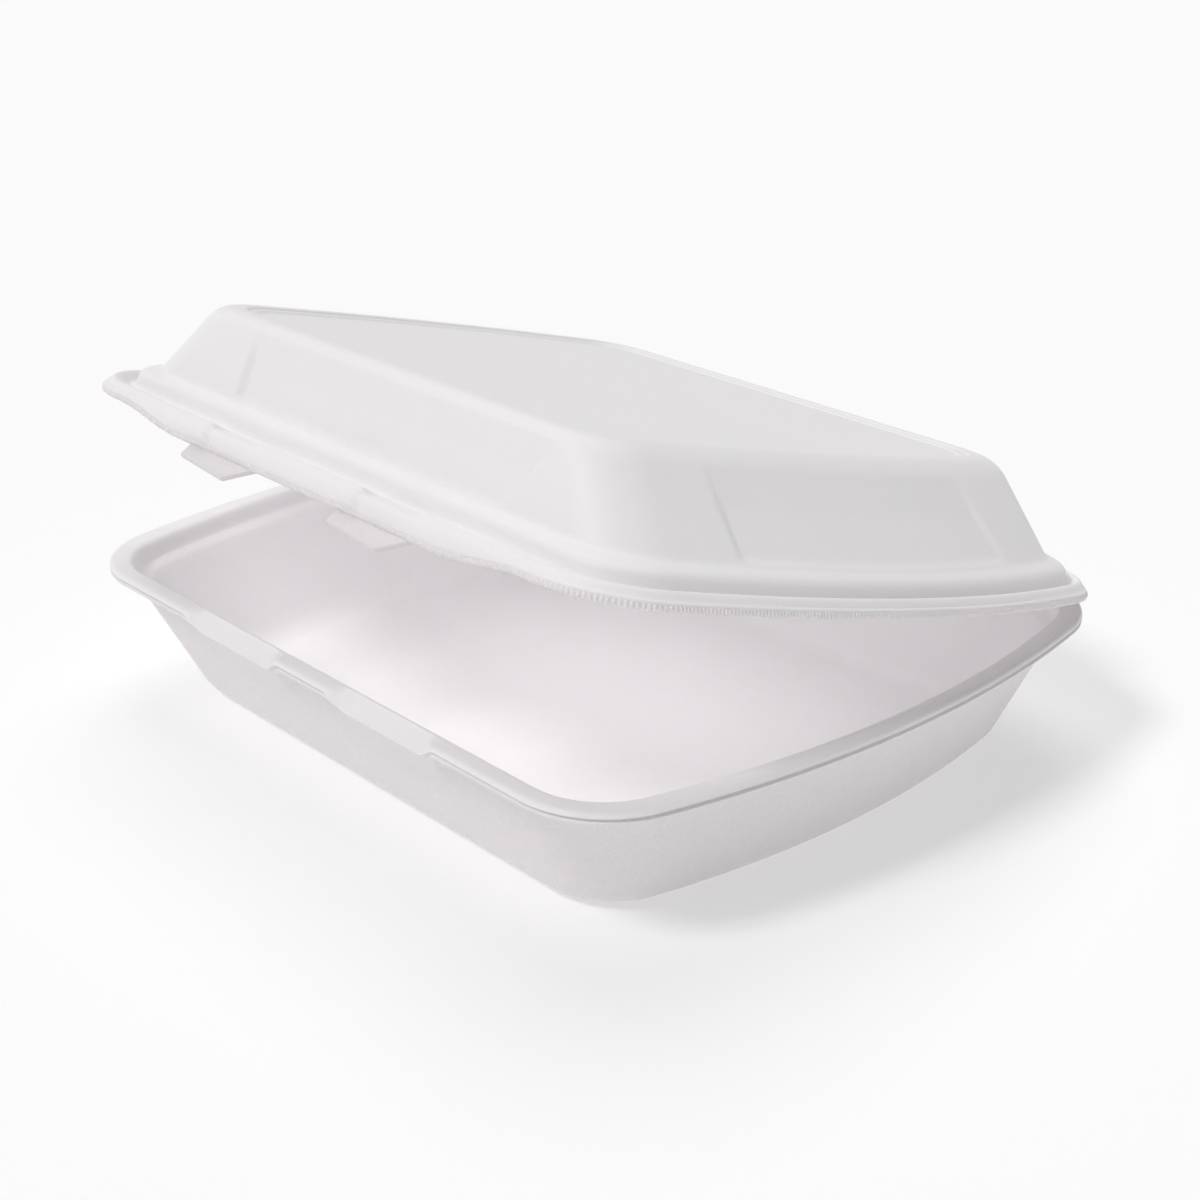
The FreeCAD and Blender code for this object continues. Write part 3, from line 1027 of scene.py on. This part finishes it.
    def tab(self, side: Side, finish: bpy.types.Material) -> bpy.types.Object:
        """Models one of the two tabs under the turned down front.

        Args:
            side: Which of the two.
            finish: The pressed foam's finish, darkened to paint the shade under the flange.

        Returns:
            The tab, in its place on the open lid.
        """
        sizes = self.tabs
        clear_selection()
        bpy.ops.mesh.primitive_cube_add(size=1.0)
        piece = bpy.context.object
        piece.name = piece.data.name = "tab_" + side.name.lower()
        piece.scale = (sizes.width * MM, sizes.length * MM, sizes.thick * MM)
        piece.location = (0, sizes.centre * MM, sizes.thick / 2 * MM)
        settle(piece)
        bpy.ops.object.mode_set(mode="EDIT")
        bpy.ops.mesh.select_all(action="DESELECT")
        mesh = bmesh.from_edit_mesh(piece.data)
        for corner in mesh.verts:
            if corner.co.y < sizes.end_line * MM:
                if corner.co.x > 0:
                    corner.co.x -= sizes.right_slant * MM
                else:
                    corner.co.x += sizes.left_slant * MM
                    corner.co.y += sizes.left_shorter * MM
        for edge in mesh.edges:
            first, second = edge.verts
            upright = abs(first.co.z - second.co.z) > MM
            edge.select = upright and first.co.y < sizes.corner_line * MM
        mesh.select_flush_mode()
        bmesh.update_edit_mesh(piece.data)
        bpy.ops.mesh.bevel(offset=sizes.corner * MM, segments=4, affect="EDGES")
        bpy.ops.object.mode_set(mode="OBJECT")
        bevel = piece.modifiers.new("edge", "BEVEL")
        bevel.width, bevel.segments, bevel.limit_method = sizes.edge * MM, 2, "ANGLE"
        bpy.ops.object.modifier_apply(modifier="edge")
        piece.location = Vector((
            sizes.middle * side.value, self.rim_front - self.apron_reach + sizes.behind,
            self.under - self.apron_drop - sizes.below)) * MM
        piece.rotation_euler = (math.radians(sizes.slope), 0, 0)
        settle(piece)
        self.stand_open(piece)
        soften(piece, 40)
        piece.data.materials.append(finish)
        return piece

    def build(self, skin: bpy.types.Material, cut: bpy.types.Material,
              pressed: bpy.types.Material) -> list[bpy.types.Object]:
        """Models and dresses the lid.

        Args:
            skin: The moulded surface's finish.
            cut: The finish of trimmed edges.
            pressed: The finish of the tabs, darkened to paint the shade under the flange.

        Returns:
            The lid's pieces.
        """
        rings = self.section()
        shell = self.sweep("lid_shell", rings)
        self.stand_open(shell)
        soften(shell, 50)
        shell.data.materials.append(skin)
        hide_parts("lid")
        made = [shell, self.cut_edge(cut)] + [
            self.tab(side, pressed) for side in Side]
        for piece in made:
            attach(piece, self.body)
            log.info("%s: %d faces", piece.name, len(piece.data.polygons))
        return made


# ---------------------------------------------------------------- hinge


@dataclass
class HingeBand:
    """The pressed foam band that bulges behind the rims, between tray and lid."""

    half_length: float = 90.0
    centre_y: float = 93.9
    centre_z: float = 40.2
    reach: float = 3.6
    rise: float = 3.1
    thick: float = 1.1
    cuts: int = 83
    turns: int = 16

    def build(self, skin: bpy.types.Material) -> bpy.types.Object:
        """Spins an edge about the rims' gap and gives the sheet its thickness.

        Args:
            skin: The foam's finish.

        Returns:
            The band, which bends between tray and lid.
        """
        clear_selection()
        bpy.ops.mesh.primitive_circle_add(vertices=3, radius=MM, fill_type="NOTHING")
        band = bpy.context.object
        band.name = band.data.name = "hinge_band"
        bpy.ops.object.mode_set(mode="EDIT")
        mesh = bmesh.from_edit_mesh(band.data)
        mesh.verts.ensure_lookup_table()
        mesh.verts.remove(mesh.verts[2])
        mesh.verts.ensure_lookup_table()
        for corner, end in zip(mesh.verts, (-1, 1)):
            corner.co = Vector((end * self.half_length, self.centre_y,
                                self.centre_z - self.reach)) * MM
        bmesh.update_edit_mesh(band.data)
        bpy.ops.mesh.select_all(action="SELECT")
        bpy.ops.mesh.subdivide(number_cuts=self.cuts)
        bpy.ops.mesh.select_all(action="SELECT")
        centre = (0, self.centre_y * MM, self.centre_z * MM)
        bpy.ops.mesh.spin(steps=self.turns, angle=-math.pi, axis=(1, 0, 0), center=centre)
        bpy.ops.mesh.select_all(action="SELECT")
        bpy.ops.transform.resize(value=(1, 1, self.rise / self.reach),
                                 center_override=centre)
        bpy.ops.mesh.remove_doubles(threshold=WELD)
        bpy.ops.mesh.normals_make_consistent(inside=False)
        bpy.ops.object.mode_set(mode="OBJECT")
        wall = band.modifiers.new("wall", "SOLIDIFY")
        wall.thickness, wall.offset = self.thick * MM, -1.0
        bpy.ops.object.modifier_apply(modifier="wall")
        face_outwards(band)
        soften(band, 50)
        band.data.materials.append(skin)
        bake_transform(band)
        log.info("hinge_band: %d faces", len(band.data.polygons))
        return band


# ---------------------------------------------------------------- studio


@dataclass(frozen=True)
class Sun:
    """One far soft light.

    It hangs toward a direction, its strength is in watts a square metre, and its
    spread is its apparent width in degrees.
    """

    name: str
    toward: Triple
    strength: float
    spread: float


@dataclass
class Studio:
    """Pale floor, soft lights and the camera, in metres."""

    eye: Triple = (0.39984, -0.35234, 0.25946)
    yaw: float = 48.088
    pitch: float = -23.0185
    focal: float = 2093.07
    frame_pixels: float = 1200.0
    sensor: float = 36.0
    clip: tuple[float, float] = (0.02, 50.0)
    gloss: float = 0.6
    sun_colour: Triple = (1.0, 0.99, 0.99)
    key: Sun = Sun("key", (-0.06, -0.62, 0.78), 1.28, 14.0)
    overhead: Sun = Sun("overhead", (-0.35, 0.30, 1.0), 0.95, 40.0)
    fill_place: Triple = (0.0, 0.006, 0.0595)
    fill_size: tuple[float, float] = (0.16, 0.10)
    fill_power: float = 0.036
    fill_colour: Triple = (1.0, 0.98, 0.985)
    world_colour: Triple = (1.0, 0.985, 0.99)
    world_strength: float = 0.36
    bounces: int = 10
    floor_points: int = 96
    sweep_rings: tuple[tuple[float, float], ...] = (
        (7.0, 1.0), (6.4, 0.55), (5.8, 0.24), (5.2, 0.06), (4.7, 0.0))

    def camera(self) -> None:
        """Stands the camera where the photograph was taken from."""
        data = bpy.data.cameras.new("camera")
        data.sensor_width = self.sensor
        data.lens = self.focal / self.frame_pixels * data.sensor_width
        data.clip_start, data.clip_end = self.clip
        camera = bpy.data.objects.new("camera", data)
        camera.location = self.eye
        camera.rotation_euler = (math.radians(90 + self.pitch), 0, math.radians(self.yaw))
        bpy.context.scene.collection.objects.link(camera)
        bpy.context.scene.camera = camera

    def inner_fill(self) -> None:
        """Hangs a small oblong light over the tray's floor, inside the shut lid."""
        data = bpy.data.lights.new("inner_fill", "AREA")
        data.shape, data.energy, data.color = "RECTANGLE", self.fill_power, self.fill_colour
        data.size, data.size_y = self.fill_size
        data.specular_factor = self.gloss
        lamp = bpy.data.objects.new("inner_fill", data)
        lamp.location = self.fill_place
        bpy.context.scene.collection.objects.link(lamp)

    def hang(self, sun: Sun) -> None:
        """Hangs one far soft light, which reaches object and floor evenly.

        Args:
            sun: The light's settings.
        """
        data = bpy.data.lights.new(sun.name, "SUN")
        data.energy, data.angle = sun.strength, math.radians(sun.spread)
        data.color = self.sun_colour
        data.specular_factor = self.gloss
        lamp = bpy.data.objects.new(sun.name, data)
        lamp.rotation_euler = Vector(sun.toward).to_track_quat("Z", "Y").to_euler()
        bpy.context.scene.collection.objects.link(lamp)

    def floor(self, finish: bpy.types.Material) -> None:
        """Models the flat floor, whose edge sweeps up far away.

        Args:
            finish: The floor's finish.
        """
        clear_selection()
        (radius, level), *steps = self.sweep_rings
        bpy.ops.mesh.primitive_circle_add(vertices=self.floor_points, radius=radius,
                                          fill_type="NOTHING", location=(0, 0, level))
        floor = bpy.context.object
        floor.name = "studio_floor"
        bpy.ops.object.transform_apply(location=True)
        bpy.ops.object.mode_set(mode="EDIT")
        bpy.ops.mesh.select_all(action="SELECT")
        for narrow, low in steps:
            bpy.ops.mesh.extrude_region_move(
                TRANSFORM_OT_translate={"value": (0, 0, low - level)})
            bpy.ops.transform.resize(value=(narrow / radius, narrow / radius, 1))
            radius, level = narrow, low
        bpy.ops.mesh.edge_face_add()
        bpy.ops.object.mode_set(mode="OBJECT")
        soften(floor, 40)
        floor.data.materials.append(finish)

    def build(self, floor_finish: bpy.types.Material) -> None:
        """Sets up floor, world, lights and camera.

        Args:
            floor_finish: The floor's finish.
        """
        self.floor(floor_finish)
        world = bpy.data.worlds.new("studio")
        world.use_nodes = True
        back = world.node_tree.nodes["Background"]
        back.inputs["Color"].default_value = (*self.world_colour, 1.0)
        back.inputs["Strength"].default_value = self.world_strength
        bpy.context.scene.world = world
        bpy.context.scene.view_settings.view_transform = "Standard"
        bpy.context.scene.cycles.diffuse_bounces = self.bounces
        self.hang(self.key)
        self.inner_fill()
        self.hang(self.overhead)
        self.camera()
        log.info("studio ready")


def main() -> None:
    """Builds the dressed container and its studio."""
    logging.basicConfig(level=logging.INFO, format="%(name)s: %(message)s")
    hinge = frame["joints"][0]
    crease = tuple(value / MM for value in hinge["pos_m"])
    # The tray's shade colour is painted shade on its down-facing outer walls, besides its
    # coarser grain.
    tray_skin = FoamFinish("foam_tray", Skin.TRAY, shade=(0.80, 0.773, 0.778),
                           relief=0.6).build()
    lid_skin = FoamFinish("foam_lid", Skin.LID).build()
    cut_skin = FoamFinish("foam_cut", Skin.CUT, tint=(0.91, 0.89, 0.895),
                          shade=(0.79, 0.76, 0.77), cell=0.7).build()
    # The tabs get a darker colour than the lid to paint the shade that falls on them under the
    # flange.
    tab_painted_shade_skin = FoamFinish("foam_tab_painted_shade", Skin.CUT, tint=(0.80, 0.775, 0.785),
                          shade=(0.72, 0.695, 0.70), cell=0.7, relief=0.2).build()
    Tray().build(tray_skin)
    Lid(crease=crease, open_angle=-hinge["range_deg"][0]).build(
        lid_skin, cut_skin, tab_painted_shade_skin)
    HingeBand().build(lid_skin)
    Studio().build(FloorFinish().build())


if __name__ == "__main__":
    main()
